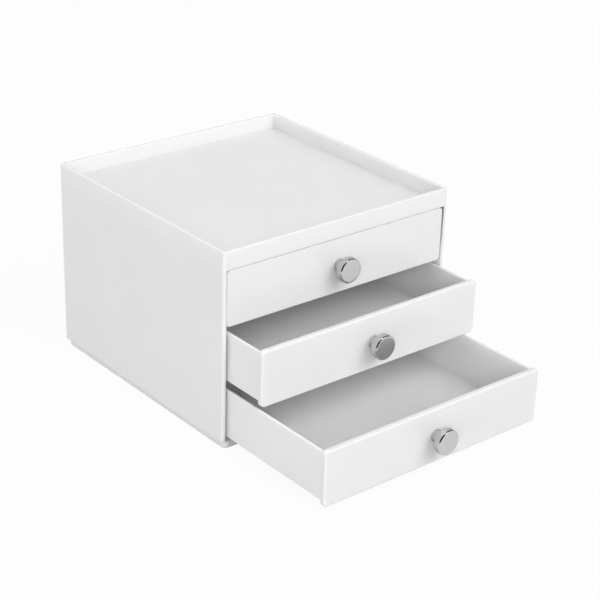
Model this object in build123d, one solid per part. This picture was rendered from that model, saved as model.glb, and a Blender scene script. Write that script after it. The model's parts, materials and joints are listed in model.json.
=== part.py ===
from build123d import *
import os

# Three-drawer desk organizer in moulded white plastic, with turned metal knobs.
# Millimetres. X is to the right, Y to the back and Z up, so the drawers open towards -Y.
# The origin is under the middle of the housing, on the flat underside of the foot.

# Drawer fronts
front_width = 159.6
front_height = 33.9
front_thickness = 3.4
front_corner = 2.6
front_edge = 0.8
front_back_edge = 0.4

# Drawer trays
tray_depth = 157.1
tray_wall = 1.8
tray_floor = 1.8
tray_side_inset = 1.1
tray_lower_inset = 2.3
tray_upper_inset = 1.5
tray_rear_corner = 3.0
tray_inner_corner = 1.6
tray_floor_round = 1.0
tray_lower_round = 0.8
tray_lip_round = 0.7

# Knobs
knob_diameter = 15.0
knob_head_length = 4.6
knob_front_round = 1.1
knob_rear_round = 0.8
knob_neck_diameter = 7.4
knob_neck_length = 5.8
knob_neck_flare = 2.0

# Knob screws
screw_diameter = 3.0
screw_engagement = 5.0
screw_tip_gap = 1.0
screw_head_diameter = 5.6
screw_head_height = 1.9
screw_head_round = 0.6
screw_slot_length = 3.2
screw_slot_width = 0.8
screw_slot_depth = 1.0

# Housing
side_wall = 2.3
back_thickness = 2.0
deck_thickness = 2.0
rim_depth = 9.3
housing_corner = 1.5
rim_round = 0.6
rail_round = 0.4
shelf_thickness = 2.0
ledge_width = 1.0
ledge_height = 2.0

# Base
foot_height = 3.8
foot_floor = 2.5
foot_wall = 2.0
foot_inset = 1.5
foot_corner = 3.0
runner_width = 4.0
runner_spacing = 110.0

# Clearances
side_gap = 0.4
front_gap = 1.6
opening_gap = 0.5
front_recess = 0.5
stop_gap = 0.2
rear_gap = 2.0
running_gap = 0.2
screw_hole_gap = 0.2
thread_gap = 0.05

# How far each drawer stands open at rest
top_open = 0.0
middle_open = 32.0
bottom_open = 86.5

# The drawers from the bottom up, with their opening at rest
drawers = [("bottom", bottom_open), ("middle", middle_open), ("top", top_open)]

# Overall sizes, which follow from the drawers that the housing takes in
inner_width = front_width + 2 * side_gap
width = inner_width + 2 * side_wall
depth = front_recess + front_thickness + tray_depth + rear_gap + back_thickness
front_pitch = front_height + front_gap
first_front_bottom = foot_height + opening_gap
opening_top = first_front_bottom + (len(drawers) - 1) * front_pitch + front_height + opening_gap
deck_top = opening_top + deck_thickness
height = deck_top + rim_depth

# Places that several pieces share
housing_front = -depth / 2
housing_back = depth / 2
back_inner = housing_back - back_thickness
front_face = housing_front + front_recess
front_rear = front_face + front_thickness
shelf_front = front_rear + stop_gap
tray_width = front_width - 2 * tray_side_inset
tray_height = front_height - tray_lower_inset - tray_upper_inset


def block(x_range, y_range, z_range):
    """A box between the given limits."""
    size = [high - low for low, high in (x_range, y_range, z_range)]
    middle = [(high + low) / 2 for low, high in (x_range, y_range, z_range)]
    return Pos(*middle) * Box(*size)


def across(half_width):
    """Limits that are even about the middle."""
    return (-half_width, half_width)


def rounded_block(size_x, size_y, radius, z_range):
    """An upright block on the Z axis with rounded corners."""
    outline = RectangleRounded(size_x, size_y, radius)
    return Pos(0, 0, z_range[0]) * extrude(outline, z_range[1] - z_range[0])


def rod(radius, y_range, z):
    """A round bar along Y at the given height."""
    length = y_range[1] - y_range[0]
    return Pos(0, (y_range[0] + y_range[1]) / 2, z) * Rot(90, 0, 0) * Cylinder(radius, length)


def within(radius, thickness):
    """A rounding that leaves some flat between the two edges of a wall."""
    return min(radius, 0.45 * thickness)


def front_bottom(row):
    """Height of the lower edge of a drawer's front; row 0 is the lowest drawer."""
    return first_front_bottom + row * front_pitch


def bearing_height(row):
    """Height of the surface that a drawer slides on."""
    return front_bottom(row) + tray_lower_inset - running_gap


def knob_height(row):
    """Height of a drawer's knob, in the middle of its front."""
    return front_bottom(row) + front_height / 2


def make_shell():
    """Side walls, deck, rim and front rail in one moulding, with ledges for the shelves."""
    shell = rounded_block(width, depth, housing_corner, (foot_height, height))
    bay = block(across(inner_width / 2), (housing_front, housing_back), (foot_height, opening_top))
    recess = block(
        across(inner_width / 2),
        (housing_front + side_wall, housing_back - side_wall),
        (deck_top, height),
    )
    shell = shell - bay - recess
    rim_edges = shell.faces().sort_by(Axis.Z)[-1].edges()
    shell = fillet(rim_edges, within(rim_round, side_wall))
    rail_edges = shell.edges().filter_by(Axis.X).filter_by_position(Axis.Z, opening_top, opening_top)
    shell = fillet(rail_edges.sort_by(Axis.Y)[0], within(rail_round, deck_thickness))
    for row in range(1, len(drawers)):
        ledge_top = bearing_height(row) - shelf_thickness
        for side in (-1, 1):
            edge = sorted((side * inner_width / 2, side * (inner_width / 2 - ledge_width)))
            shell += block(edge, (shelf_front, back_inner), (ledge_top - ledge_height, ledge_top))
    return shell


def make_back():
    """Flat plate between the side walls, flush with the back of the sleeve."""
    return block(across(inner_width / 2), (back_inner, housing_back), (foot_height, opening_top))


def make_base():
    """Floor pan: a foot inset at the sides and back, a flange between the walls and two runners."""
    top = bearing_height(0)
    foot_width = width - 2 * foot_inset
    foot_depth = depth - foot_inset
    foot = rounded_block(foot_width, foot_depth, foot_corner, (0, foot_height))
    foot = Pos(0, -foot_inset / 2, 0) * foot
    flange = block(across(inner_width / 2), (shelf_front, back_inner), (foot_height, top))
    pan_depth = (shelf_front + foot_wall, back_inner - foot_wall)
    pan = block(across(inner_width / 2 - foot_wall), pan_depth, (foot_floor, top))
    base = foot + flange - pan
    for side in (-1, 1):
        middle = side * runner_spacing / 2
        runner = (middle - runner_width / 2, middle + runner_width / 2)
        base += block(runner, pan_depth, (foot_floor, top))
    return base


def make_shelf(row):
    """Plate on the ledges under a drawer. The drawer's front closes against its front edge."""
    top = bearing_height(row)
    return block(across(inner_width / 2), (shelf_front, back_inner), (top - shelf_thickness, top))


def make_tray(row):
    """Open box: square where it meets the front, rounded at the back and inside."""
    bottom = front_bottom(row) + tray_lower_inset
    top = bottom + tray_height
    y_range = (front_rear, front_rear + tray_depth)
    outside = block(across(tray_width / 2), y_range, (bottom, top))
    rear_edges = outside.edges().filter_by(Axis.Z).group_by(Axis.Y)[-1]
    outside = fillet(rear_edges, tray_rear_corner)
    lower_edges = outside.faces().sort_by(Axis.Z)[0].edges().sort_by(Axis.Y)[1:]
    outside = fillet(lower_edges, within(tray_lower_round, tray_floor))
    inside = block(
        across(tray_width / 2 - tray_wall),
        (y_range[0] + tray_wall, y_range[1] - tray_wall),
        (bottom + tray_floor, top),
    )
    inside = fillet(inside.edges().filter_by(Axis.Z), tray_inner_corner)
    inside = fillet(inside.faces().sort_by(Axis.Z)[0].edges(), tray_floor_round)
    tray = outside - inside
    lip_edges = tray.faces().sort_by(Axis.Z)[-1].edges()
    lip_edges = lip_edges.filter_by_position(Axis.Y, *y_range).sort_by(Axis.Y)[1:]
    tray = fillet(lip_edges, within(tray_lip_round, tray_wall))
    hole = rod(screw_diameter / 2 + screw_hole_gap, (y_range[0], y_range[0] + tray_wall), knob_height(row))
    return tray - hole


def make_front(row):
    """Plate with rounded corners and soft edges, drilled for the knob's screw."""
    bottom = front_bottom(row)
    y_range = (front_face, front_rear)
    front = block(across(front_width / 2), y_range, (bottom, bottom + front_height))
    front = fillet(front.edges().filter_by(Axis.Y), front_corner)
    front = fillet(front.faces().sort_by(Axis.Y)[0].edges(), within(front_edge, front_thickness))
    front = fillet(front.faces().sort_by(Axis.Y)[-1].edges(), within(front_back_edge, front_thickness))
    hole = rod(screw_diameter / 2 + screw_hole_gap, y_range, knob_height(row))
    return front - hole


def make_knob(row):
    """Turned knob: a neck that flares into a head with rounded edges, and a blind threaded hole."""
    neck = knob_neck_diameter / 2
    head = knob_diameter / 2
    rear = knob_neck_length
    face = knob_neck_length + knob_head_length
    # The flare leaves some flat before the rounding at the back of the head.
    rear_room = head - neck - knob_rear_round
    flare = within(knob_neck_flare, 2 * rear_room)
    # The profile has the radius along X and the distance from the drawer's front along Y.
    profile = [
        Line((0, 0), (neck, 0)),
        Line((neck, 0), (neck, rear - flare)),
        RadiusArc((neck, rear - flare), (neck + flare, rear), flare),
        Line((neck + flare, rear), (head - knob_rear_round, rear)),
        RadiusArc((head - knob_rear_round, rear), (head, rear + knob_rear_round), -knob_rear_round),
        Line((head, rear + knob_rear_round), (head, face - knob_front_round)),
        RadiusArc((head, face - knob_front_round), (head - knob_front_round, face), -knob_front_round),
        Line((head - knob_front_round, face), (0, face)),
        Line((0, face), (0, 0)),
    ]
    knob = revolve(make_face(profile), Axis.Y)
    knob = Pos(0, front_face, knob_height(row)) * Rot(180, 0, 0) * knob
    hole_end = front_face - screw_engagement - screw_tip_gap
    return knob - rod(screw_diameter / 2 + thread_gap, (hole_end, front_face), knob_height(row))


def make_screw(row):
    """Pan-head screw from inside the drawer, through tray and front into the knob."""
    seat = front_rear + tray_wall
    z = knob_height(row)
    head = rod(screw_head_diameter / 2, (seat, seat + screw_head_height), z)
    head = fillet(head.edges().sort_by(Axis.Y)[-1], within(screw_head_round, screw_head_height))
    screw = head + rod(screw_diameter / 2, (front_face - screw_engagement, seat), z)
    slot_range = (seat + screw_head_height - screw_slot_depth, seat + screw_head_height)
    reach = screw_slot_length / 2
    half = screw_slot_width / 2
    screw -= block(across(reach), slot_range, (z - half, z + half))
    screw -= block(across(half), slot_range, (z - reach, z + reach))
    return screw


def write(shape, name):
    """Writes one piece to its own file."""
    export_step(shape, os.path.join("parts", name + ".step"))


os.makedirs("parts", exist_ok=True)

write(make_shell(), "housing_shell")
write(make_back(), "back_panel")
write(make_base(), "base")
write(make_shelf(1), "lower_shelf")
write(make_shelf(2), "upper_shelf")

for row, (name, opened) in enumerate(drawers):
    at_rest = Pos(0, -opened, 0)
    write(at_rest * make_tray(row), name + "_tray")
    write(at_rest * make_front(row), name + "_front")
    write(at_rest * make_knob(row), name + "_knob")
    write(at_rest * make_screw(row), name + "_screw")
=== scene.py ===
# %% [markdown]
# A three-drawer desk organizer in glossy white plastic, with turned metal knobs.
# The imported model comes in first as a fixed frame, in metres, and every piece below takes its place
# and its outer size from it. The white mouldings are boxes with softened edges, and the fronts,
# knobs and screws come from Geometry Nodes, because one rule makes all three of each.

# %% Load the frame
import json
from math import cos, pi, radians, sin
import bmesh
import bpy
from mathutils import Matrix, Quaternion, Vector


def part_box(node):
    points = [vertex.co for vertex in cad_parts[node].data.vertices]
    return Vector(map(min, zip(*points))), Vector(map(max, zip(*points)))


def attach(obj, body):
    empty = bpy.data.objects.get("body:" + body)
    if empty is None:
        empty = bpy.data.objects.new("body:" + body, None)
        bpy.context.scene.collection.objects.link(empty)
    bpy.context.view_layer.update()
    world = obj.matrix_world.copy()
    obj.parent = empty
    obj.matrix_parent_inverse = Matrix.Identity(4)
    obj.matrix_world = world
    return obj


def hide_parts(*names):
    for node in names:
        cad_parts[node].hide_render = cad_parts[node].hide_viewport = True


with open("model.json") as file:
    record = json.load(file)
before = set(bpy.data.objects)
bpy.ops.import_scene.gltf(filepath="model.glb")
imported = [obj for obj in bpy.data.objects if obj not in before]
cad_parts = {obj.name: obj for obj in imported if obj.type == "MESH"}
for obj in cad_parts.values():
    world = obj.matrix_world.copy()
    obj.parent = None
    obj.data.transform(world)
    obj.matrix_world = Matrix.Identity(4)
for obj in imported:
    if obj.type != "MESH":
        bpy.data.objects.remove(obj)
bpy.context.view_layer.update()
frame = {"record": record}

drawer_names = ("top", "middle", "bottom")

# %% [markdown]
# The camera stands to the left of the organizer and looks down on it, so that the front, the left
# side and the deck all show. It could be placed by eye, but its place, aim and small roll were worked
# out from the straight edges of the housing, which fixes all of them together with the lens.

# %% Camera
mm = 0.001
camera_place = Vector((-564.1, -722.2, 472.8)) * mm
camera_aim = Vector((6.8, -40.0, 52.4)) * mm
camera_roll = radians(-1.81)
camera_lens = 98.6
sensor_width = 36.0


def make_camera():
    """A camera at its place, turned towards its aim and rolled about its line of sight."""
    data = bpy.data.cameras.new("studio_camera")
    data.lens = camera_lens
    data.sensor_width = sensor_width
    camera = bpy.data.objects.new("studio_camera", data)
    sight = camera_aim - camera_place
    roll = Quaternion(sight.normalized(), camera_roll)
    camera.rotation_mode = "QUATERNION"
    camera.rotation_quaternion = roll @ sight.to_track_quat("-Z", "Y")
    camera.location = camera_place
    bpy.context.scene.collection.objects.link(camera)
    bpy.context.scene.camera = camera


make_camera()
print("camera is", round((camera_aim - camera_place).length, 3), "m from its aim")

# %% [markdown]
# Finishes and shapes are both drawn as node trees here. Nodes could be wired by hand in an editor,
# but a script makes the same tree each time. One small helper adds a node, sets its options and
# fills its inputs by name, with a plain value or with a wire from another node.

# %% Node helpers
def node(tree, kind, feeds=None, **options):
    """Adds a node to a tree, fills its inputs and returns its outputs."""
    made = tree.nodes.new(kind)
    for option, value in options.items():
        setattr(made, option, value)
    for label, feed in (feeds or {}).items():
        if isinstance(feed, bpy.types.NodeSocket):
            tree.links.new(feed, made.inputs[label])
        else:
            made.inputs[label].default_value = feed
    return made.outputs


def calc(tree, operation, *values):
    """A sum on up to three numbers, in shader and geometry trees alike."""
    feeds = {place: value for place, value in enumerate(values)}
    return node(tree, "ShaderNodeMath", feeds, operation=operation)[0]


print("node helpers:", node.__name__, calc.__name__)

# %% [markdown]
# What makes a surface look real is small and uneven: a colour that drifts, a gloss that comes and
# goes, a skin that isn't quite flat. Pictures could give that, but noise has no seams and never
# repeats, so these helpers take noise and turn it into colour, gloss and bumps.

# %% Finish helpers
def new_finish(name):
    """A new material with its tree and its main shader's inputs."""
    material = bpy.data.materials.new(name)
    material.use_nodes = True
    tree = material.node_tree
    return material, tree, tree.nodes["Principled BSDF"].inputs


def noise(tree, place, scale, detail):
    """Cloudy blotches from 0 to 1; a larger scale makes them smaller."""
    feeds = {"Vector": place, "Scale": scale, "Detail": detail}
    return node(tree, "ShaderNodeTexNoise", feeds)["Fac"]


def spread(tree, value, low, high):
    """Takes a value from 0 to 1 to the range from low to high."""
    feeds = {"Value": value, "To Min": low, "To Max": high}
    return node(tree, "ShaderNodeMapRange", feeds)[0]


def blend(tree, share, first, second):
    """A colour between two others."""
    feeds = {"Factor": share, "A": first, "B": second}
    return node(tree, "ShaderNodeMix", feeds, data_type="RGBA")["Result"]


def bump(tree, height, strength, distance, below=None):
    """Shades the surface as if it rose and fell, on top of another bump if one is given."""
    feeds = {"Height": height, "Strength": strength, "Distance": distance}
    if below is not None:
        feeds["Normal"] = below
    return node(tree, "ShaderNodeBump", feeds)["Normal"]


print("finish helpers:", noise.__name__, spread.__name__, blend.__name__, bump.__name__)

# %% [markdown]
# The body is injection-moulded white plastic with a polished surface. Real gloss plastic is never
# a perfect mirror: thin walls shrink into broad, shallow waves, and the skin has a fine orange peel.
# Both are far finer than the mesh, so they are bumps on Object coordinates and not modelled. A cloudy
# noise also moves the colour and the gloss a little, which keeps the large flat faces from looking
# painted on. Light sinks a little way into white plastic and comes out beside where it went in, so
# some subsurface scattering softens edges and hollows. The floor pan, which stands on the desk, has
# less shine, so the finish is made in two glosses.

# %% White plastic
deeper_white = (0.825, 0.827, 0.832, 1.0)
paler_white = (0.865, 0.865, 0.868, 1.0)
cloud_scale = 26.0
cloud_detail = 3.0
handling_scale = 95.0
handling_detail = 4.0
wave_scale = 34.0
wave_detail = 1.0
wave_strength = 0.25
wave_height = 0.1 * mm
peel_scale = 1100.0
peel_detail = 1.0
peel_strength = 0.1
peel_height = 0.02 * mm
plastic_ior = 1.49
sinking_share = 0.8
sinking_depth = 2.0 * mm
same_in_all_colours = (1.0, 1.0, 1.0)


def make_white_plastic(name, smoothest, roughest, shine):
    """White moulding with shallow waves, a fine orange peel and uneven gloss."""
    material, tree, shader = new_finish(name)
    place = node(tree, "ShaderNodeTexCoord")["Object"]
    cloud = noise(tree, place, cloud_scale, cloud_detail)
    tree.links.new(blend(tree, cloud, deeper_white, paler_white), shader["Base Color"])
    handling = noise(tree, place, handling_scale, handling_detail)
    tree.links.new(spread(tree, handling, smoothest, roughest), shader["Roughness"])
    wave = noise(tree, place, wave_scale, wave_detail)
    waves = bump(tree, wave, wave_strength, wave_height)
    peel = noise(tree, place, peel_scale, peel_detail)
    tree.links.new(bump(tree, peel, peel_strength, peel_height, waves), shader["Normal"])
    shader["IOR"].default_value = plastic_ior
    shader["Specular IOR Level"].default_value = shine
    shader["Subsurface Weight"].default_value = sinking_share
    shader["Subsurface Radius"].default_value = same_in_all_colours
    shader["Subsurface Scale"].default_value = sinking_depth
    return material


white_plastic = make_white_plastic("white_plastic_gloss", smoothest=0.13, roughest=0.25, shine=0.5)
satin_plastic = make_white_plastic("white_plastic_satin", smoothest=0.45, roughest=0.6, shine=0.15)
print("finishes:", white_plastic.name, satin_plastic.name)

# %% [markdown]
# The knobs are turned from bar and chrome plated. The side is polished, and the flat face keeps
# the fine rings that the cutting tool left. A ring pattern about one point would suit one knob only.
# These rings follow the distance from the knob's own axis, which the shape stores on the mesh and
# the finish reads back, so one material serves three knobs that stand in three places.

# %% Chrome
deeper_chrome = (0.46, 0.46, 0.465, 1.0)
paler_chrome = (0.74, 0.74, 0.745, 1.0)
chrome_edge_tint = (0.55, 0.55, 0.56, 1.0)
ring_scale = 1500.0
ring_detail = 4.0
ring_fineness = 0.6
ring_middle = 0.5
ring_strength = 0.5
ring_height = 0.01 * mm
polished_roughness = 0.06
least_ring_roughness = 0.08
most_ring_roughness = 0.22


def make_chrome():
    """Chrome plate with faint turned rings on the face of the knob."""
    material, tree, shader = new_finish("knob_chrome_turned")
    turning = node(tree, "ShaderNodeAttribute", attribute_name="turning")["Fac"]
    on_face = node(tree, "ShaderNodeAttribute", attribute_name="on_face")["Fac"]
    feeds = {"W": turning, "Scale": ring_scale, "Detail": ring_detail, "Roughness": ring_fineness}
    ring = node(tree, "ShaderNodeTexNoise", feeds, noise_dimensions="1D")["Fac"]
    rings = calc(tree, "MULTIPLY", calc(tree, "SUBTRACT", ring, ring_middle), on_face)
    share = calc(tree, "ADD", rings, ring_middle)
    tree.links.new(blend(tree, share, deeper_chrome, paler_chrome), shader["Base Color"])
    tree.links.new(bump(tree, rings, ring_strength, ring_height), shader["Normal"])
    ring_roughness = spread(tree, ring, least_ring_roughness, most_ring_roughness)
    satin = calc(tree, "MULTIPLY", on_face, ring_roughness)
    tree.links.new(calc(tree, "ADD", satin, polished_roughness), shader["Roughness"])
    shader["Specular Tint"].default_value = chrome_edge_tint
    shader["Metallic"].default_value = 1.0
    return material


chrome = make_chrome()
print("finish:", chrome.name)

# %% [markdown]
# The screws behind the knobs are plain steel with a thin coat of zinc, which is duller than chrome
# and has a fine mottled grain. Only their heads show, inside an open drawer, so one noise
# is enough: it moves the gloss and roughens the skin together, as the grain does.

# %% Screw steel
zinc_grey = (0.62, 0.62, 0.63, 1.0)
grain_scale = 1800.0
grain_detail = 3.0
grain_strength = 0.2
grain_height = 0.02 * mm
zinc_smoothest = 0.24
zinc_roughest = 0.42


def make_screw_steel():
    """Zinc plated steel: a soft grey shine with a mottled grain."""
    material, tree, shader = new_finish("screw_zinc_plate")
    place = node(tree, "ShaderNodeTexCoord")["Object"]
    grain = noise(tree, place, grain_scale, grain_detail)
    tree.links.new(spread(tree, grain, zinc_smoothest, zinc_roughest), shader["Roughness"])
    tree.links.new(bump(tree, grain, grain_strength, grain_height), shader["Normal"])
    shader["Base Color"].default_value = zinc_grey
    shader["Metallic"].default_value = 1.0
    return material


screw_steel = make_screw_steel()
print("finish:", screw_steel.name)

# %% [markdown]
# A moulding is a box with soft edges, so most pieces are drawn as a stack of outlines: walls rise
# from one level to the next, and stepping inwards and down again makes a hollow. A block could be
# hollowed with a Boolean instead, but a stack leaves clean rows of faces for the roundings. The
# outlines are rectangles whose upright corners are already round.

# %% Outlines and stacks
corner_steps = 8


def arc(centre, radius, start, end, steps):
    """Points along an arc, with its angles in degrees."""
    angles = [radians(start + (end - start) * step / steps) for step in range(steps + 1)]
    return [(centre[0] + radius * cos(angle), centre[1] + radius * sin(angle)) for angle in angles]


def inset(limits, margin):
    """Limits moved inwards at both ends."""
    return limits[0] + margin, limits[1] - margin


def outline(x_range, y_range, front_radius, back_radius):
    """Points round a rectangle from its left front corner on; a corner with no radius stays square."""
    (left, right), (front, back) = x_range, y_range
    corners = (
        (left, front, 1, 1, front_radius),
        (right, front, -1, 1, front_radius),
        (right, back, -1, -1, back_radius),
        (left, back, 1, -1, back_radius),
    )
    points = []
    for turn, (x, y, across, along, radius) in enumerate(corners):
        if radius:
            centre = (x + across * radius, y + along * radius)
            start = 180 + 90 * turn
            points += arc(centre, radius, start, start + 90, corner_steps)
        else:
            points.append((x, y))
    return points


def add_stack(mesh, levels, closed_below=True):
    """A solid through outlines at given heights, from its underside up."""
    rings = [[mesh.verts.new((x, y, height)) for x, y in points] for points, height in levels]
    for ring, following in zip(rings, rings[1:]):
        for a in range(len(ring)):
            b = (a + 1) % len(ring)
            mesh.faces.new((ring[a], ring[b], following[b], following[a]))
    if closed_below:
        mesh.faces.new(reversed(rings[0]))
    mesh.faces.new(rings[-1])


print("a rounded corner has", corner_steps + 1, "points")

# %% [markdown]
# No edge of a moulding is quite sharp, and the thin bright line along it tells the eye that the
# piece is real. The roundings could be drawn as more outlines, but each edge only needs a number:
# its own bevel weight, from which a single Bevel modifier makes all the roundings later and runs
# them round the corners. Edges are picked by where they lie.

# %% Soft edges
widest_round = 2.0 * mm
sharp_angle = radians(35)
tiny = 0.001 * mm


def new_moulding():
    """An empty mesh to draw in, with a weight on its edges."""
    mesh = bmesh.new()
    mesh.edges.layers.float.new("bevel_weight_edge")
    return mesh


def edges_at(mesh, **place):
    """The sharp edges that lie at the given x, y or z all along."""
    def there(edge):
        ends = [corner.co for corner in edge.verts]
        return all(abs(getattr(end, axis) - at) < tiny for axis, at in place.items() for end in ends)

    mesh.normal_update()
    return [edge for edge in mesh.edges if edge.calc_face_angle() > sharp_angle and there(edge)]


def soften(mesh, radius, **place):
    """Gives edges the rounding that the Bevel modifier makes later."""
    weight = mesh.edges.layers.float.get("bevel_weight_edge")
    for edge in edges_at(mesh, **place):
        edge[weight] = radius / widest_round


print("roundings up to", widest_round / mm, "mm")

# %% [markdown]
# Ledges and runners are bars that stand out from a flat face of the same moulding. A box laid
# against the face would look right, but its hidden side would stay inside the piece. So the bar's
# rectangle is cut into the face and pushed out, which keeps the piece one closed skin.

# %% Bars that stand out
x_axis, y_axis, z_axis = range(3)


def step_along(axis, distance):
    """A step along one axis."""
    return Vector([distance if place == axis else 0 for place in range(3)])


def push_out(mesh, axis, level, limits, travel):
    """Cuts a rectangle from the flat face at a level and pushes it out along the axis."""
    def flat(face):
        return all(abs(corner.co[axis] - level) < tiny for corner in face.verts)

    def inside(face):
        middle = face.calc_center_median()
        return all(low < middle[other] < high for other, (low, high) in limits.items())

    for other, ends in limits.items():
        for end in ends:
            faces = [face for face in mesh.faces if flat(face)]
            around = {part for face in faces for part in (*face.edges, *face.verts)}
            cut = step_along(other, end)
            bmesh.ops.bisect_plane(mesh, geom=[*faces, *around], plane_co=cut, plane_no=cut.normalized())
    chosen = [face for face in mesh.faces if flat(face) and inside(face)]
    pushed = bmesh.ops.extrude_discrete_faces(mesh, faces=chosen)["faces"]
    corners = [corner for face in pushed for corner in face.verts]
    bmesh.ops.translate(mesh, verts=corners, vec=step_along(axis, travel))


print("helper for ledges and runners:", push_out.__name__)

# %% [markdown]
# A drawn mesh becomes a piece by way of two modifiers: Bevel rounds the edges, and Weighted Normal
# keeps the large faces flat to the eye. They could stay live, but a plain mesh is what the export
# keeps, and it can be tested at once: a moulding encloses a volume, so every edge has two faces.

# %% From drawing to piece
round_steps = 5
strongest_weight = 100
cubic_centimetre = 1e-6


def add_even_shading(piece):
    """Keeps large faces flat to the eye, so that only the roundings shade smoothly."""
    even = piece.modifiers.new("even shading", "WEIGHTED_NORMAL")
    even.weight = strongest_weight
    even.keep_sharp = True


def settle(piece):
    """Turns a piece and its modifiers into a plain mesh and tells whether it is closed."""
    graph = bpy.context.evaluated_depsgraph_get()
    shape = piece.evaluated_get(graph)
    plain = bpy.data.meshes.new_from_object(shape, preserve_all_data_layers=True, depsgraph=graph)
    drawn = piece.data
    piece.modifiers.clear()
    piece.data = plain
    bpy.data.meshes.remove(drawn)
    plain.name = piece.name
    test = bmesh.new()
    test.from_mesh(plain)
    closed = all(edge.is_manifold for edge in test.edges)
    volume = round(test.calc_volume(signed=True) / cubic_centimetre, 3)
    print(piece.name, len(plain.polygons), "faces, closed", closed, "volume", volume, "cm3")
    test.free()


def mould(mesh, name, finish=white_plastic):
    """Makes a piece of plastic from the drawn mesh, with its edges rounded."""
    mesh.normal_update()
    weight = mesh.edges.layers.float.get("bevel_weight_edge")
    for edge in mesh.edges:
        edge.smooth = edge[weight] > 0 or edge.calc_face_angle() < sharp_angle
    drawn = bpy.data.meshes.new(name)
    mesh.to_mesh(drawn)
    mesh.free()
    for face in drawn.polygons:
        face.use_smooth = True
    drawn.materials.append(finish)
    piece = bpy.data.objects.new(name, drawn)
    bpy.context.scene.collection.objects.link(piece)
    bevel = piece.modifiers.new("soft edges", "BEVEL")
    bevel.limit_method = "WEIGHT"
    bevel.width = widest_round
    bevel.segments = round_steps
    bevel.use_clamp_overlap = False
    add_even_shading(piece)
    settle(piece)
    return piece


def stand_for(piece, body, cad_node):
    """Puts a finished piece on its body in place of a node of the frame."""
    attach(piece, body)
    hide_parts(cad_node)


print("roundings in", round_steps, "steps")

# %% [markdown]
# The housing is one sleeve: two side walls joined by the deck, with a rim round the deck that
# keeps things from sliding off. Seen from the front it is an upside-down U, so that outline is drawn
# once and pulled back to the full depth, which is quicker than joining three plates and leaves no
# seams. Its upright corners are rounded, and the top face gives way to the rim and the deck, which
# are one more stack. Inside, two ledges on each wall carry the shelves.

# %% Sizes of the sleeve
shell_low, shell_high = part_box("housing_shell")
back_low, back_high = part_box("back_panel")
bay_half = back_high.x
bay_top = back_high.z
wall = shell_high.x - bay_half
deck_top = next(m["pos_m"][2] for m in frame["record"]["mounts"] if m["name"] == "top_deck")
shell_width = (shell_low.x, shell_high.x)
shell_depth = (shell_low.y, shell_high.y)
corner_round = 1.5 * mm
circular = 0.5
rim_round = 0.6 * mm
rail_round = 0.4 * mm
seam_round = 0.25 * mm
deck_round = 0.5 * mm
rim_corner = 1.2 * mm
ledge_width = 1.0 * mm
ledge_height = 2.0 * mm
print("walls are", round(wall / mm, 2), "mm thick, deck at", round(deck_top / mm, 2), "mm")

# %% Housing sleeve
def draw_arch(mesh):
    """Draws the front as an upside-down U and pulls it back to the full depth."""
    arch = [
        (shell_low.x, shell_low.z),
        (-bay_half, shell_low.z),
        (-bay_half, bay_top),
        (bay_half, bay_top),
        (bay_half, shell_low.z),
        (shell_high.x, shell_low.z),
        (shell_high.x, shell_high.z),
        (shell_low.x, shell_high.z),
    ]
    front = mesh.faces.new([mesh.verts.new((x, shell_low.y, z)) for x, z in arch])
    pulled = bmesh.ops.extrude_face_region(mesh, geom=[front], use_keep_orig=True)["geom"]
    far = [part for part in pulled if isinstance(part, bmesh.types.BMVert)]
    bmesh.ops.translate(mesh, verts=far, vec=(0, shell_high.y - shell_low.y, 0))
    bmesh.ops.recalc_face_normals(mesh, faces=mesh.faces)


def add_ledges(mesh):
    """Pushes the ledges for the shelves out of the inner faces of both walls."""
    for shelf in ("lower_shelf", "upper_shelf"):
        low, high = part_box(shelf)
        limits = {z_axis: (low.z - ledge_height, low.z), y_axis: (low.y, high.y)}
        push_out(mesh, x_axis, -bay_half, limits, ledge_width)
        push_out(mesh, x_axis, bay_half, limits, -ledge_width)


def add_rim(mesh):
    """Rounds the upright corners and puts the rim and the deck in place of the top face."""
    uprights = [edge for x in shell_width for y in shell_depth for edge in edges_at(mesh, x=x, y=y)]
    bmesh.ops.bevel(mesh, geom=uprights, offset=corner_round, segments=corner_steps,
                    profile=circular, affect="EDGES")
    top = max(mesh.faces, key=lambda face: face.calc_center_median().z)
    bmesh.ops.delete(mesh, geom=[top], context="FACES_ONLY")
    rim = outline(shell_width, shell_depth, corner_round, corner_round)
    recess = outline(inset(shell_width, wall), inset(shell_depth, wall), rim_corner, rim_corner)
    levels = [(rim, shell_high.z), (recess, shell_high.z), (recess, deck_top)]
    add_stack(mesh, levels, closed_below=False)
    bmesh.ops.remove_doubles(mesh, verts=mesh.verts, dist=tiny)


def make_sleeve():
    """Side walls, deck and rim in one piece, with ledges inside for the shelves."""
    mesh = new_moulding()
    draw_arch(mesh)
    add_ledges(mesh)
    add_rim(mesh)
    soften(mesh, seam_round, y=shell_low.y)
    soften(mesh, seam_round, y=shell_high.y)
    soften(mesh, seam_round, z=shell_low.z)
    soften(mesh, rail_round, y=shell_low.y, z=bay_top)
    soften(mesh, rim_round, z=shell_high.z)
    soften(mesh, deck_round, z=deck_top)
    return mould(mesh, "housing_sleeve")


stand_for(make_sleeve(), "housing", "housing_shell")

# %% [markdown]
# Inside the sleeve are four flat mouldings: the plate that closes the back, the two shelves under
# the upper drawers, and the pan that carries the bottom drawer. The pan steps in below the walls,
# which makes the shaded foot. They could be part of the sleeve's mesh, but the seam between two real
# mouldings always shows as a thin line. So each is a stack of its own, with a fine rounding.

# %% Back and shelves
plate_corner = 0.5 * mm
plates = {
    "back_panel": "back_plate",
    "upper_shelf": "upper_shelf_plate",
    "lower_shelf": "lower_shelf_plate",
}


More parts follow.
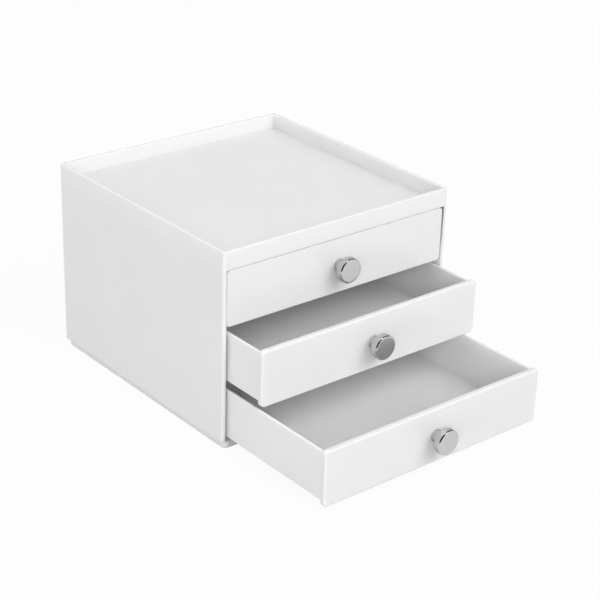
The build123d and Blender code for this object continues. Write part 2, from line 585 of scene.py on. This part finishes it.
def make_plate(cad_node, name):
    """A flat plate with a fine rounding on every edge."""
    low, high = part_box(cad_node)
    mesh = new_moulding()
    sheet = outline((low.x, high.x), (low.y, high.y), plate_corner, plate_corner)
    add_stack(mesh, [(sheet, low.z), (sheet, high.z)])
    soften(mesh, seam_round, z=low.z)
    soften(mesh, seam_round, z=high.z)
    return mould(mesh, name)


for cad_node, name in plates.items():
    stand_for(make_plate(cad_node, name), "housing", cad_node)

# %% Floor pan with its foot
pan_corner = 1.0 * mm
foot_corner = 3.0 * mm
foot_edge = 0.4 * mm
pan_floor = 2.5 * mm
pan_wall = 2.0 * mm
foot_inset = 1.5 * mm
runner_width = 4.0 * mm
runner_spacing = 110.0 * mm
runner_end = 0.5 * mm


def make_foot():
    """The floor pan: foot below, flange between the walls, and a hollow with two runners."""
    low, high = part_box("base")
    mesh = new_moulding()
    foot_depth = (shell_low.y, shell_high.y - foot_inset)
    foot = outline(inset(shell_width, foot_inset), foot_depth, foot_corner, foot_corner)
    flange_width = (-bay_half, bay_half)
    flange_depth = (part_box("lower_shelf")[0].y, back_low.y)
    flange = outline(flange_width, flange_depth, plate_corner, plate_corner)
    pan_depth = inset(flange_depth, pan_wall)
    pan = outline(inset(flange_width, pan_wall), pan_depth, pan_corner, pan_corner)
    add_stack(mesh, [
        (foot, low.z),
        (foot, shell_low.z),
        (flange, shell_low.z),
        (flange, high.z),
        (pan, high.z),
        (pan, pan_floor),
    ])
    for middle in (-runner_spacing / 2, runner_spacing / 2):
        runner = (middle - runner_width / 2, middle + runner_width / 2)
        limits = {x_axis: runner, y_axis: inset(pan_depth, runner_end)}
        push_out(mesh, z_axis, pan_floor, limits, high.z - pan_floor)
    soften(mesh, seam_round, z=high.z)
    soften(mesh, foot_edge, z=low.z)
    return mould(mesh, "floor_pan", satin_plastic)


stand_for(make_foot(), "housing", "base")

# %% [markdown]
# Each drawer is an open box behind a wider front. The box is square where the front covers it and
# rounded at the back, with a soft lip and a fillet round the floor, as a mould needs so that
# the part lets go of the steel. It is one more stack: up the outside, in at the lip and down to
# the floor. That gives the wall its thickness directly, where Solidify would need a second step.

# %% Drawer trays
tray_wall = 1.8 * mm
tray_floor = 1.8 * mm
tray_rear_round = 3.0 * mm
tray_inner_round = 1.6 * mm
tray_floor_round = 1.0 * mm
tray_under_round = 0.8 * mm
tray_lip_round = 0.7 * mm


def make_tray(drawer):
    """An open box with a soft lip."""
    low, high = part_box(drawer + "_tray")
    mesh = new_moulding()
    width = (low.x, high.x)
    depth = (low.y, high.y)
    inner_width = inset(width, tray_wall)
    inner_depth = inset(depth, tray_wall)
    outside = outline(width, depth, None, tray_rear_round)
    inside = outline(inner_width, inner_depth, None, tray_inner_round)
    add_stack(mesh, [
        (outside, low.z),
        (outside, high.z),
        (inside, high.z),
        (inside, low.z + tray_floor),
    ])
    soften(mesh, tray_lip_round, z=high.z)
    soften(mesh, tray_under_round, z=low.z)
    soften(mesh, tray_floor_round, z=low.z + tray_floor)
    # The front covers this end, so its edges go back to square.
    soften(mesh, 0.0, y=low.y)
    for x in inner_width:
        soften(mesh, tray_inner_round, x=x, y=inner_depth[0])
    return mould(mesh, drawer + "_drawer_tray")


for drawer in drawer_names:
    stand_for(make_tray(drawer), drawer + "_drawer", drawer + "_tray")

# %% [markdown]
# The fronts, knobs and screws each follow a section: a line of straight runs and arcs. The drawn
# section is the mesh that the modifier starts from, and a tree sweeps it round an outline or turns
# it about an axis. It could be a curve too, but straight runs need only their ends and an arc is
# a formula, so a short list of points does.

# %% Sections and trees
def draw_section(name, points):
    """An object that holds a section as a line of edges."""
    drawn = bpy.data.meshes.new(name)
    edges = [(place, place + 1) for place in range(len(points) - 1)]
    drawn.from_pydata([(x, y, 0) for x, y in points], edges, [])
    piece = bpy.data.objects.new(name, drawn)
    bpy.context.scene.collection.objects.link(piece)
    return piece


def start_tree(name, inputs):
    """A geometry tree with named inputs; gives the tree, its inputs and the end to link to."""
    tree = bpy.data.node_groups.new(name, "GeometryNodeTree")
    sockets = tree.interface
    sockets.new_socket("Geometry", in_out="INPUT", socket_type="NodeSocketGeometry")
    for label, kind in inputs.items():
        sockets.new_socket(label, in_out="INPUT", socket_type="NodeSocket" + kind)
    sockets.new_socket("Geometry", in_out="OUTPUT", socket_type="NodeSocketGeometry")
    given = tree.nodes.new("NodeGroupInput").outputs
    end = tree.nodes.new("NodeGroupOutput").inputs["Geometry"]
    return tree, given, end


def move(tree, shape, place, turn=(0, 0, 0)):
    """Turns a shape about the origin and moves it to its place."""
    feeds = {"Geometry": shape, "Translation": place, "Rotation": turn}
    return node(tree, "GeometryNodeTransform", feeds)["Geometry"]


def end_tree(tree, shape, material, end):
    """Smooths all but the sharp edges and gives the shape its material."""
    angle = node(tree, "GeometryNodeInputMeshEdgeAngle")["Unsigned Angle"]
    sharp = calc(tree, "GREATER_THAN", angle, sharp_angle)
    feeds = {"Geometry": shape, "Shade Smooth": True}
    smooth = node(tree, "GeometryNodeSetShadeSmooth", feeds, domain="FACE")["Geometry"]
    feeds = {"Geometry": smooth, "Selection": sharp, "Shade Smooth": False}
    edged = node(tree, "GeometryNodeSetShadeSmooth", feeds, domain="EDGE")["Geometry"]
    whole = node(tree, "GeometryNodeRealizeInstances", {"Geometry": edged})["Geometry"]
    coated = node(tree, "GeometryNodeSetMaterial", {"Geometry": whole, "Material": material})
    tree.links.new(coated["Geometry"], end)


def run_tree(piece, tree, values):
    """Runs a tree on a section with the given inputs and keeps the result as a plain mesh."""
    modifier = piece.modifiers.new(tree.name, "NODES")
    modifier.node_group = tree
    for item in tree.interface.items_tree:
        if item.in_out == "INPUT" and item.name in values:
            modifier[item.identifier] = values[item.name]
    add_even_shading(piece)
    settle(piece)
    return piece


print("tree helpers:", start_tree.__name__, move.__name__, end_tree.__name__, run_tree.__name__)

# %% [markdown]
# A front is a flat plate with rounded corners and a soft edge. The tree draws the outline as
# a rectangle with filleted corners, sweeps the edge section round it, and closes the two open loops
# of that band with flat faces. A bevelled box comes close, but sweeping keeps the edge even all the
# way round, whatever its section.

# %% Tree of the drawer fronts
front_corner_steps = 10
quarter_turn = pi / 2


def flat_cap(tree, band, chosen):
    """Fills the loop of chosen edges with a flat face, which lies at height 0."""
    loop = node(tree, "GeometryNodeMeshToCurve", {"Mesh": band, "Selection": chosen})["Curve"]
    return node(tree, "GeometryNodeFillCurve", {"Curve": loop}, mode="NGONS")["Mesh"]


def make_front_tree():
    """Sweeps an edge section round a rounded rectangle and closes it with two flat faces."""
    sizes = {"Width": "Float", "Height": "Float", "Depth": "Float", "Corner": "Float"}
    tree, given, end = start_tree("drawer front", {**sizes, "Place": "Vector", "Finish": "Material"})
    feeds = {"Width": given["Width"], "Height": given["Height"]}
    sheet = node(tree, "GeometryNodeCurvePrimitiveQuadrilateral", feeds)["Curve"]
    feeds = {"Curve": sheet, "Radius": given["Corner"], "Count": front_corner_steps}
    rounded = node(tree, "GeometryNodeFilletCurve", feeds, mode="POLY")["Curve"]
    section = node(tree, "GeometryNodeMeshToCurve", {"Mesh": given["Geometry"]})["Curve"]
    feeds = {"Curve": rounded, "Profile Curve": section}
    band = node(tree, "GeometryNodeCurveToMesh", feeds)["Mesh"]
    # An edge with one face beside it is on an open loop, and half the depth tells the loops apart.
    beside = node(tree, "GeometryNodeInputMeshEdgeNeighbors")["Face Count"]
    loose = calc(tree, "COMPARE", beside, 1.0, 0.5)
    place = node(tree, "GeometryNodeInputPosition")["Position"]
    height = node(tree, "ShaderNodeSeparateXYZ", {"Vector": place})["Z"]
    middle = calc(tree, "MULTIPLY", given["Depth"], -0.5)
    upper = calc(tree, "MULTIPLY", loose, calc(tree, "GREATER_THAN", height, middle))
    lower = calc(tree, "MULTIPLY", loose, calc(tree, "LESS_THAN", height, middle))
    face = flat_cap(tree, band, upper)
    depth = calc(tree, "MULTIPLY", given["Depth"], -1.0)
    drop = node(tree, "ShaderNodeCombineXYZ", {"Z": depth})[0]
    rear = move(tree, flat_cap(tree, band, lower), drop)
    rear = node(tree, "GeometryNodeFlipFaces", {"Mesh": rear})["Mesh"]
    joint = tree.nodes.new("GeometryNodeJoinGeometry")
    for shape in (band, face, rear):
        tree.links.new(shape, joint.inputs[0])
    feeds = {"Geometry": joint.outputs[0], "Distance": tiny}
    closed = node(tree, "GeometryNodeMergeByDistance", feeds)["Geometry"]
    upright = move(tree, closed, given["Place"], (quarter_turn, 0, 0))
    end_tree(tree, upright, given["Finish"], end)
    return tree


front_tree = make_front_tree()
print(front_tree.name, "tree has", len(front_tree.nodes), "nodes")

# %% Drawer fronts
front_corner = 2.6 * mm
front_edge = 0.8 * mm
front_edge_steps = 8
front_rear_edge = 0.4 * mm
front_rear_steps = 4


def front_section(depth):
    """Round the edge from the face to the rear, as distance outwards and distance backwards."""
    points = arc((0, front_edge), front_edge, -90, 0, front_edge_steps)
    rear_centre = (front_edge - front_rear_edge, depth - front_rear_edge)
    return points + arc(rear_centre, front_rear_edge, 0, 90, front_rear_steps)


def make_front(drawer):
    """One front, as large as its node in the frame."""
    low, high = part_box(drawer + "_front")
    size = high - low
    values = {
        "Width": size.x - 2 * front_edge,
        "Height": size.z - 2 * front_edge,
        "Depth": size.y,
        "Corner": front_corner - front_edge,
        "Place": (0, low.y, (low.z + high.z) / 2),
        "Finish": white_plastic,
    }
    return run_tree(draw_section(drawer + "_drawer_front", front_section(size.y)), front_tree, values)


for drawer in drawer_names:
    stand_for(make_front(drawer), drawer + "_drawer", drawer + "_front")

# %% [markdown]
# Knobs and screws are turned on a lathe, so both are a section spun round an axis. A Screw modifier
# could spin it, but nodes can also keep values of the section for the finish. The tree wraps a flat
# grid round the axis: one side of the grid counts the turn, and the other reads the points of
# the section. Where the grid meets itself, its points are merged.

# %% Turning helpers
def turned(tree, section, steps):
    """Gives a grid, where its points go round an axis along Y, and the section's point for each."""
    feeds = {"Geometry": section}
    count = node(tree, "GeometryNodeAttributeDomainSize", feeds, component="MESH")["Point Count"]
    columns = calc(tree, "ADD", steps, 1.0)
    feeds = {"Vertices X": columns, "Vertices Y": count}
    grid = node(tree, "GeometryNodeMeshGrid", feeds)["Mesh"]
    # The grid's points are counted column by column, and half a step keeps the sum off the border.
    index = node(tree, "GeometryNodeInputIndex")["Index"]
    column = calc(tree, "FLOOR", calc(tree, "DIVIDE", calc(tree, "ADD", index, 0.5), count))
    row = calc(tree, "SUBTRACT", index, calc(tree, "MULTIPLY", column, count))
    place = node(tree, "GeometryNodeInputPosition")["Position"]
    feeds = {"Geometry": section, "Value": place, "Index": row}
    options = {"data_type": "FLOAT_VECTOR", "domain": "POINT"}
    point = node(tree, "GeometryNodeSampleIndex", feeds, **options)["Value"]
    point = node(tree, "ShaderNodeSeparateXYZ", {"Vector": point})
    angle = calc(tree, "MULTIPLY", calc(tree, "DIVIDE", column, steps), 2 * pi)
    feeds = {
        "X": calc(tree, "MULTIPLY", point["X"], calc(tree, "COSINE", angle)),
        "Y": calc(tree, "MULTIPLY", point["Y"], -1.0),
        "Z": calc(tree, "MULTIPLY", point["X"], calc(tree, "SINE", angle)),
    }
    wrapped = node(tree, "ShaderNodeCombineXYZ", feeds)[0]
    return grid, wrapped, point


def wrap(tree, grid, wrapped):
    """Moves the grid's points round the axis and merges those that meet."""
    bent = node(tree, "GeometryNodeSetPosition", {"Geometry": grid, "Position": wrapped})["Geometry"]
    return node(tree, "GeometryNodeMergeByDistance", {"Geometry": bent, "Distance": tiny})["Geometry"]


print("turning helpers:", turned.__name__, wrap.__name__)

# %% [markdown]
# A knob is a narrow neck that flares into a head with rounded edges, with a small centre mark on
# the face. A cylinder with bevels would miss the flare, and a section has it all in one line. The
# tree also stores how far each point is from the axis and whether it lies on the face, for the
# turned rings of the finish.

# %% Tree of the knobs
face_margin = 0.2 * mm


def store(tree, shape, name, value):
    """Writes a value on the points of a mesh, where a finish can read it."""
    feeds = {"Geometry": shape, "Name": name, "Value": value}
    return node(tree, "GeometryNodeStoreNamedAttribute", feeds, data_type="FLOAT")["Geometry"]


def make_knob_tree():
    """Turns a section into a knob and marks its face."""
    inputs = {"Steps": "Int", "Face": "Float", "Place": "Vector", "Finish": "Material"}
    tree, given, end = start_tree("turned knob", inputs)
    grid, wrapped, point = turned(tree, given["Geometry"], given["Steps"])
    face_starts = calc(tree, "SUBTRACT", given["Face"], face_margin)
    on_face = calc(tree, "GREATER_THAN", point["Y"], face_starts)
    marked = store(tree, grid, "turning", point["X"])
    marked = store(tree, marked, "on_face", on_face)
    placed = move(tree, wrap(tree, marked, wrapped), given["Place"])
    end_tree(tree, placed, given["Finish"], end)
    return tree


knob_tree = make_knob_tree()
print(knob_tree.name, "tree has", len(knob_tree.nodes), "nodes")

# %% Knobs
knob_diameter = 15.0 * mm
knob_neck_diameter = 7.4 * mm
knob_neck_length = 5.8 * mm
knob_neck_flare = 2.0 * mm
knob_front_round = 1.1 * mm
knob_rear_round = 0.8 * mm
knob_mark_radius = 0.8 * mm
knob_mark_depth = 0.5 * mm
flare_steps = 8
knob_rear_steps = 8
knob_front_steps = 10
knob_turn_steps = 96


def knob_section(length):
    """From the middle of the neck's end to the middle of the face, as radius and distance."""
    neck = knob_neck_diameter / 2
    head = knob_diameter / 2
    rear = knob_neck_length
    flare_centre = (neck + knob_neck_flare, rear - knob_neck_flare)
    rear_centre = (head - knob_rear_round, rear + knob_rear_round)
    front_centre = (head - knob_front_round, length - knob_front_round)
    points = [(0, 0), (neck, 0)]
    points += arc(flare_centre, knob_neck_flare, 180, 90, flare_steps)
    points += arc(rear_centre, knob_rear_round, -90, 0, knob_rear_steps)
    points += arc(front_centre, knob_front_round, 0, 90, knob_front_steps)
    return points + [(knob_mark_radius, length), (0, length - knob_mark_depth)]


def make_knob(drawer):
    """One knob, on the middle of its front."""
    low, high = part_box(drawer + "_knob")
    middle = (low + high) / 2
    length = high.y - low.y
    values = {
        "Steps": knob_turn_steps,
        "Face": length,
        "Place": (middle.x, high.y, middle.z),
        "Finish": chrome,
    }
    return run_tree(draw_section(drawer + "_drawer_knob", knob_section(length)), knob_tree, values)


for drawer in drawer_names:
    stand_for(make_knob(drawer), drawer + "_drawer", drawer + "_knob")

# %% [markdown]
# A pan-head screw holds each knob from inside the drawer, so its head shows when the drawer is
# open and seen from behind. It is turned like the knob, and two crossed bars are cut out of the head
# for the driver. A dark cross in the finish would pass from afar, but a cut catches the light.

# %% Tree of the screws
def make_screw_tree():
    """Turns a screw and cuts a cross into its head."""
    inputs = {"Steps": "Int", "Head": "Float", "Slot": "Vector", "Place": "Vector", "Finish": "Material"}
    tree, given, end = start_tree("pan head screw", inputs)
    grid, wrapped, _ = turned(tree, given["Geometry"], given["Steps"])
    closed = wrap(tree, grid, wrapped)
    cut = tree.nodes.new("GeometryNodeMeshBoolean")
    cut.operation = "DIFFERENCE"
    cut.solver = "EXACT"
    tree.links.new(closed, cut.inputs["Mesh 1"])
    bar = node(tree, "GeometryNodeMeshCube", {"Size": given["Slot"]})["Mesh"]
    top = node(tree, "ShaderNodeCombineXYZ", {"Y": given["Head"]})[0]
    for turn in (0.0, quarter_turn):
        tree.links.new(move(tree, bar, top, (0, turn, 0)), cut.inputs["Mesh 2"])
    placed = move(tree, cut.outputs["Mesh"], given["Place"])
    end_tree(tree, placed, given["Finish"], end)
    return tree


screw_tree = make_screw_tree()
print(screw_tree.name, "tree has", len(screw_tree.nodes), "nodes")

# %% Screws
screw_diameter = 3.0 * mm
screw_head_diameter = 5.6 * mm
screw_head_height = 1.9 * mm
screw_head_round = 0.9 * mm
screw_head_steps = 8
screw_turn_steps = 48
slot_size = Vector((3.2, 2.0, 0.8)) * mm


def screw_section(length):
    """From the top of the head to the tip, as radius and distance from the head's seat."""
    head = screw_head_diameter / 2
    shank = screw_diameter / 2
    crown_centre = (head - screw_head_round, screw_head_round - screw_head_height)
    crown = arc(crown_centre, screw_head_round, -90, 0, screw_head_steps)
    return [(0, -screw_head_height)] + crown + [(head, 0), (shank, 0), (shank, length), (0, length)]


def make_screw(drawer):
    """One screw, seated on the inside of its tray."""
    low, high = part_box(drawer + "_screw")
    middle = (low + high) / 2
    seat = high.y - screw_head_height
    values = {
        "Steps": screw_turn_steps,
        "Head": screw_head_height,
        "Slot": slot_size,
        "Place": (middle.x, seat, middle.z),
        "Finish": screw_steel,
    }
    section = draw_section(drawer + "_drawer_screw", screw_section(seat - low.y))
    return run_tree(section, screw_tree, values)


for drawer in drawer_names:
    stand_for(make_screw(drawer), drawer + "_drawer", drawer + "_screw")

# %% [markdown]
# The set is a white floor in a white surround, like a light tent. Both could simply be lit until
# they are white, but then the organizer would be lit too strongly. So to the camera and in mirrors
# the floor is plain white, with a little of its own shading left for a faint shadow. To the object
# it gives back less light than it seems to, because a bright floor would light up undersides.

# %% Floor and surround
floor_size = 8.0
floor_white = 0.86
floor_bounce = 0.42
floor_share = 0.94
fill_level = 0.46
plain_white = (1.0, 1.0, 1.0, 1.0)


def seen_directly(tree):
    """One for rays from the camera, from a mirror or through glass, and nothing for others."""
    rays = node(tree, "ShaderNodeLightPath")
    seen = calc(tree, "MAXIMUM", rays["Is Camera Ray"], rays["Is Glossy Ray"])
    return calc(tree, "MAXIMUM", seen, rays["Is Transmission Ray"])


def make_sheet(name, size, material):
    """A flat sheet of a given width and height about the origin."""
    x, y = size[0] / 2, size[1] / 2
    corners = [(-x, -y, 0), (x, -y, 0), (x, y, 0), (-x, y, 0)]
    drawn = bpy.data.meshes.new(name)
    drawn.from_pydata(corners, [], [(0, 1, 2, 3)])
    drawn.materials.append(material)
    sheet = bpy.data.objects.new(name, drawn)
    bpy.context.scene.collection.objects.link(sheet)
    return sheet


def make_floor():
    """A wide pale floor that keeps a faint shadow."""
    material, tree, shader = new_finish("studio_floor_white")
    seen = seen_directly(tree)
    tree.links.new(spread(tree, seen, floor_bounce, floor_white), shader["Base Color"])
    shader["Roughness"].default_value = 1.0
    shader["Specular IOR Level"].default_value = 0.0
    glow = node(tree, "ShaderNodeEmission", {"Color": plain_white, "Strength": 1.0})["Emission"]
    share = calc(tree, "MULTIPLY", seen, floor_share)
    shaded = tree.nodes["Principled BSDF"].outputs["BSDF"]
    mix = node(tree, "ShaderNodeMixShader", {0: share, 1: shaded, 2: glow})["Shader"]
    tree.links.new(mix, tree.nodes["Material Output"].inputs["Surface"])
    floor = make_sheet("studio_floor", (floor_size, floor_size), material)


def make_surround():
    """An even white world: a fill light for the object, plain white where it is seen."""
    world = bpy.data.worlds.new("studio_surround")
    world.use_nodes = True
    tree = world.node_tree
    level = spread(tree, seen_directly(tree), fill_level, 1.0)
    background = tree.nodes["Background"].inputs
    background["Color"].default_value = plain_white
    tree.links.new(level, background["Strength"])
    bpy.context.scene.world = world


make_floor()
make_surround()
print("floor", floor_size, "m wide, fill light at", fill_level)

# %% [markdown]
# White on white is told apart only by light, so each direction gets its own lamp. One lamp and an
# even surround would be simpler, but seams and drawers would go dark. A large lamp high in front
# reaches down into the open drawers, one beside the camera reaches into the seams, and a smaller
# one behind on the left lifts the rim. Three long, low ones stand below the height of the deck:
# they light the walls and leave the deck alone. A polished face would show every lamp as a patch,
# so mirrors don't see them.

# %% Lamps
def face_towards(thing, target):
    """Turns a lamp or a card so that it faces a point."""
    thing.rotation_mode = "QUATERNION"
    thing.rotation_quaternion = (target - thing.location).to_track_quat("-Z", "Y")


def make_lamp(name, place, size, power):
    """A soft lamp of a given width and height that faces the organizer and doesn't show in mirrors."""
    data = bpy.data.lights.new(name, "AREA")
    data.shape = "RECTANGLE"
    data.size, data.size_y = size
    data.energy = power
    lamp = bpy.data.objects.new(name, data)
    lamp.location = place
    face_towards(lamp, camera_aim)
    lamp.visible_glossy = False
    bpy.context.scene.collection.objects.link(lamp)


make_lamp("key_lamp", place=(0.5, -2.2, 2.05), size=(2.6, 1.8), power=48.5)
make_lamp("side_lamp", place=(-1.7, 1.3, 1.3), size=(1.6, 1.4), power=8.5)
make_lamp("camera_side_lamp", place=(-1.75, -2.1, 1.25), size=(1.2, 1.0), power=21.5)
make_lamp("low_left_lamp", place=(-3.0, -0.9, 0.11), size=(2.4, 0.18), power=19.0)
make_lamp("low_right_lamp", place=(3.0, 0.9, 0.11), size=(2.4, 0.18), power=16.0)
make_lamp("low_back_lamp", place=(0.2, 3.2, 0.11), size=(3.0, 0.18), power=14.0)

# %% [markdown]
# Chrome looks like metal only by what it mirrors, and in a white set it would turn white as well.
# Photographers hang bright and black cards round a shiny thing for this reason. A painted
# reflection would slide off as the view changes, so real cards hang here too: a bright one and two
# black ones, which nothing but mirrors can see.

# %% Cards
black = (0.0, 0.0, 0.0, 1.0)
share_of_way_to_camera = 0.55


def make_card(name, place, size, brightness):
    """A card that only mirrors can see, glowing or black."""
    material, _, shader = new_finish(name)
    shader["Base Color"].default_value = black
    shader["Specular IOR Level"].default_value = 0.0
    shader["Emission Color"].default_value = plain_white
    shader["Emission Strength"].default_value = brightness
    card = make_sheet(name, size, material)
    card.location = place
    face_towards(card, camera_aim)
    for ray in ("camera", "diffuse", "shadow", "transmission"):
        setattr(card, "visible_" + ray, False)


before_camera = camera_aim + (camera_place - camera_aim) * share_of_way_to_camera
make_card("bright_card", place=(0.1, -1.0, 1.25), size=(0.35, 1.1), brightness=4.0)
make_card("dark_card", place=before_camera, size=(0.9, 0.9), brightness=0.0)
make_card("dark_flag", place=(0.85, 0.0, 1.1), size=(1.6, 1.6), brightness=0.0)

# %% [markdown]
# The render shows colours as they are written, with the plain Standard view; other views would bend
# the whites.

# %% View
bpy.context.scene.view_settings.view_transform = "Standard"
bpy.context.view_layer.update()
